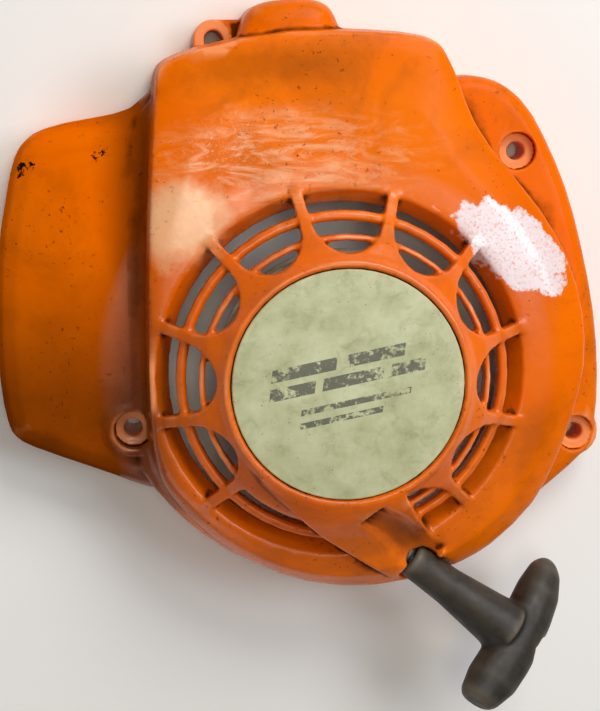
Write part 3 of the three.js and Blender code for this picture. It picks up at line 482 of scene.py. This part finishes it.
def grip_rubber():
    """Moulded rubber: nearly black and matt, with dust in its grain and paler, rubbed edges."""
    material, tree, shader = new_material("moulded_grip_rubber", IOR=1.45)
    cavity = add_node(tree, "Attribute", {}, "Fac", attribute_name="hollow")
    soil = soiling(tree, add_node(tree, "TexCoord", {}, "Object"), (
        ("tone", 12, 6, 0.6, 0, [(0.3, "#1D1914"), (0.55, "#2A231B"), (0.75, "#3A3024")]),
        ("edges", 3, 4, 0.5, 0, None),
        ("dust", 1.2, 4, 0.6, 0, [(0.6, 0.0), (0.72, 0.35)]),
        ("gloss", 5, 5, 0.5, 0, [(0.3, 0.42), (0.7, 0.62)]),
        ("swell", 3.5, 3, 0.5, 0, None),
        ("grain", 0.5, 2, 0.5, 0, None),
    ))
    edge_shift = add_node(tree, "Math", {0: soil["edges"], 1: 0.05}, operation="MULTIPLY")
    edge_level = add_node(tree, "Math", {0: cavity, 1: edge_shift}, operation="ADD")
    rubbed = add_node(tree, "ValToRGB", {"Fac": edge_level}, stops=[(0.40, 0.75), (0.50, 0.0)])
    base = soil["tone"]
    for amount, colour in ((rubbed, "#6E6658"), (soil["dust"], "#5B4A35")):
        base = add_node(tree, "Mix", {0: amount, 6: base, 7: linear(colour)}, 2, data_type="RGBA")
    tree.links.new(base, shader.inputs["Base Color"])
    tree.links.new(soil["gloss"], shader.inputs["Roughness"])
    relief(tree, shader, ((soil["swell"], 0.12, 0.25), (soil["grain"], 0.05, 0.35)))
    return material


grip = cad_copy("starter_grip", "starter_grip_moulding", "grip", grip_rubber())
apply_modifier(grip, "REMESH", mode="VOXEL", voxel_size=GRIP_VOXEL)
place, normal, edge = mesh_arrays(grip.data)
evenness = np.linalg.norm(spread_out(normal, edge, 4), axis=1)
weigh(grip, "rounding", 0.6 + 0.4 * np.clip((evenness - 0.88) / 0.1, 0, 1))
apply_modifier(grip, "SMOOTH", factor=0.5, iterations=GRIP_ROUNDS, vertex_group="rounding")
only(grip)
bpy.ops.object.shade_smooth()
hollow_layer(grip, 8)


# ------------------------------------------------------------------ pieces inside
# The turned, stamped and moulded pieces under the housing, with their edges broken.

def plain_finish(name, light, dark, roughness, metallic=0.0):
    """A finish with soil between two tones, a fine grain and uneven gloss."""
    material, tree, shader = new_material(name, Metallic=metallic)
    soil = soiling(tree, add_node(tree, "TexCoord", {}, "Object"), (
        ("tone", 9, 6, 0.65, 0, [(0.35, dark), (0.65, light)]),
        ("gloss", 4, 5, 0.5, 0, [(0.3, roughness - 0.08), (0.7, roughness + 0.12)]),
        ("grain", 0.6, 3, 0.5, 0, None),
    ))
    tree.links.new(soil["tone"], shader.inputs["Base Color"])
    tree.links.new(soil["gloss"], shader.inputs["Roughness"])
    relief(tree, shader, ((soil["grain"], 0.03, 0.4),))
    return material


# Turned steel is satin and bright; zinc plating is yellower and duller; blued spring steel is
# dark and glossy; nylon is satin, black or bone; sintered bronze is a matt brown gold.
satin_steel = plain_finish("turned_steel", "#B9B8B2", "#7C7A74", 0.34, 1.0)
soiled_steel = plain_finish("soiled_turned_steel", "#77726A", "#3A352D", 0.5, 1.0)
zinc_steel = plain_finish("zinc_plated_steel", "#B5B095", "#827C62", 0.4, 1.0)
blued_steel = plain_finish("blued_spring_steel", "#5C6470", "#353A44", 0.3, 1.0)
black_nylon = plain_finish("moulded_black_nylon", "#262628", "#171718", 0.5)
natural_nylon = plain_finish("natural_nylon", "#CFC8B0", "#9C9274", 0.45)
bronze = plain_finish("sintered_bronze", "#A47B46", "#6E5230", 0.45, 1.0)

for node, name, body, slot, material, edge_width in (
    ("rope_bushing", "rope_bushing_turned", "housing", "bushing_steel", soiled_steel, 0.2),
    ("starter_post", "starter_post_turned", "housing", "post_steel", satin_steel, 0.2),
    ("spring_cartridge", "spring_cartridge_cup", "housing", "cartridge_plastic", black_nylon, 0.25),
    ("spring_cover", "spring_cover_plate", "housing", "cartridge_plastic", black_nylon, 0.2),
    ("cartridge_screw_1", "cartridge_screw_first", "housing", "screw_steel", zinc_steel, 0.15),
    ("cartridge_screw_2", "cartridge_screw_second", "housing", "screw_steel", zinc_steel, 0.15),
    ("rewind_spring", "rewind_spring_strip", "housing", "spring_steel", blued_steel, 0.08),
    ("rope_rotor", "rope_rotor_moulding", "rotor", "rotor_plastic", natural_nylon, 0.25),
    ("rotor_bush", "rotor_bush_sleeve", "rotor", "bush_bronze", bronze, 0.15),
    ("spring_clip", "spring_clip_stamping", "rotor", "spring_steel", blued_steel, 0.15),
    ("rotor_washer", "rotor_washer_collar", "rotor", "post_steel", satin_steel, 0.2),
    ("pawl_1", "pawl_first", "pawl_a", "pawl_plastic", black_nylon, 0.4),
    ("pawl_2", "pawl_second", "pawl_b", "pawl_plastic", black_nylon, 0.4),
):
    soft_edges(cad_copy(node, name, body, material), edge_width)


# ------------------------------------------------------------------ rope
# Braided cord 3 mm thick, soiled in patches: wound in the rotor's groove,
# drawn straight to the grip, with a knot at each end.

ROPE_Z = 31.8 * MM
PULL = Vector((0.788011, -0.615661, 0))
SIDE = Vector((0.615661, 0.788011, 0))
PULL_R = 29.4 * MM
CORD_SIDES = 12
TURN_R = 1.42 * MM
TURN_STEPS = 96
TURN_FROM = math.radians(232)
LEAD_R = 1.45 * MM
LEAD_FROM, LEAD_TO = 13.8 * MM, 84.0 * MM
LEAD_STEPS = 90


def braided_cord():
    """Braided polyamide: a matt basket of strands, read from u round the cord and v along it."""
    material, tree, shader = new_material("braided_cord", Roughness=0.85, Sheen_Weight=0.3)
    uv = add_node(tree, "TexCoord", {}, "UV")
    round_cord, along_cord = (add_node(tree, "SeparateXYZ", {"Vector": uv}, axis) for axis in "XY")
    along_cord = add_node(tree, "Math", {0: along_cord, 1: 2.4}, operation="MULTIPLY")
    braid = 1.0
    for strands in (8, -8):
        wave = add_node(tree, "Math", {0: round_cord, 1: strands}, operation="MULTIPLY")
        wave = add_node(tree, "Math", {0: wave, 1: along_cord}, operation="ADD")
        wave = add_node(tree, "Math", {0: wave, 1: math.pi}, operation="MULTIPLY")
        wave = add_node(tree, "Math", {0: wave}, operation="SINE")
        wave = add_node(tree, "Math", {0: wave}, operation="ABSOLUTE")
        braid = add_node(tree, "Math", {0: braid, 1: wave}, operation="MULTIPLY")
    strand_tone = add_node(tree, "ValToRGB", {"Fac": braid}, stops=[(0.05, "#6A604C"), (0.5, "#BDB49A")])
    soil = soiling(tree, add_node(tree, "TexCoord", {}, "Object"), (("dirt", 8, 5, 0.6, 0, [(0.45, 0.0), (0.7, 0.6)]),))
    base = add_node(tree, "Mix", {0: soil["dirt"], 6: strand_tone, 7: linear("#5B4A32")}, 2, data_type="RGBA")
    tree.links.new(base, shader.inputs["Base Color"])
    relief(tree, shader, ((braid, 0.25, 0.8),))
    return material


cord = braided_cord()


def rope_along(name, points, radius):
    """A round cord through points, with UVs round it and along it in cord diameters."""
    mesh = bpy.data.meshes.new(name)
    piece = bpy.data.objects.new(name, mesh)
    bpy.context.scene.collection.objects.link(piece)
    build = bmesh.new()
    layer = build.loops.layers.uv.new("cord")
    rings = []
    lengths = [0.0]
    for k, point in enumerate(points):
        before, after = points[max(k - 1, 0)], points[min(k + 1, len(points) - 1)]
        along = (after - before).normalized()
        across = along.cross(Vector((0, 0, 1))).normalized()
        up = across.cross(along)
        if k:
            lengths.append(lengths[-1] + (point - points[k - 1]).length)
        rings.append([build.verts.new(point + radius * (math.cos(a) * across + math.sin(a) * up))
                      for a in (2 * math.pi * i / CORD_SIDES for i in range(CORD_SIDES))])
    for k in range(len(rings) - 1):
        for i in range(CORD_SIDES):
            j = (i + 1) % CORD_SIDES
            face = build.faces.new((rings[k][i], rings[k][j], rings[k + 1][j], rings[k + 1][i]))
            face.smooth = True
            for loop, (u, v) in zip(face.loops, ((i, k), (i + 1, k), (i + 1, k + 1), (i, k + 1))):
                loop[layer].uv = (u / CORD_SIDES, lengths[v] / (2 * radius))
    build.faces.new(rings[0])
    build.faces.new(reversed(rings[-1]))
    bmesh.ops.recalc_face_normals(build, faces=build.faces)
    build.to_mesh(mesh)
    build.free()
    mesh.materials.append(cord)
    return piece


# The visible outer turns of the winding, two abreast, over the filled groove.
for row, (turn_r, rise) in enumerate(((29.4, -1.42), (29.4, 1.42), (26.4, -1.42), (26.4, 1.42))):
    angles = [TURN_FROM + 2 * math.pi * k / TURN_STEPS for k in range(TURN_STEPS + 1)]
    ring = [CRANK + Vector((turn_r * MM * math.cos(a), turn_r * MM * math.sin(a), ROPE_Z + rise * MM)) for a in angles]
    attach(rope_along(f"rope_winding_turn_{row}", ring, TURN_R), "rotor")
winding_core = cad_copy("rope_winding", "rope_winding_core", "rotor", cord)
apply_modifier(winding_core, "SMOOTH", factor=0.2, iterations=1)
only(winding_core)
bpy.ops.object.shade_smooth()

# The lead runs straight between the bushing and the grip.
start = CRANK - SIDE * PULL_R + Vector((0, 0, ROPE_Z))
spots = [LEAD_FROM + (LEAD_TO - LEAD_FROM) * k / LEAD_STEPS for k in range(LEAD_STEPS + 1)]
lead = rope_along("rope_lead_cord", [start + PULL * spot for spot in spots], LEAD_R)
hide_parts("rope_lead")
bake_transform(lead)

for node, name, body in (("rotor_knot", "rotor_knot_tied", "rotor"), ("grip_knot", "grip_knot_tied", "grip")):
    knot = cad_copy(node, name, body, cord)
    apply_modifier(knot, "SUBSURF", levels=2)
    only(knot)
    bpy.ops.object.shade_smooth()
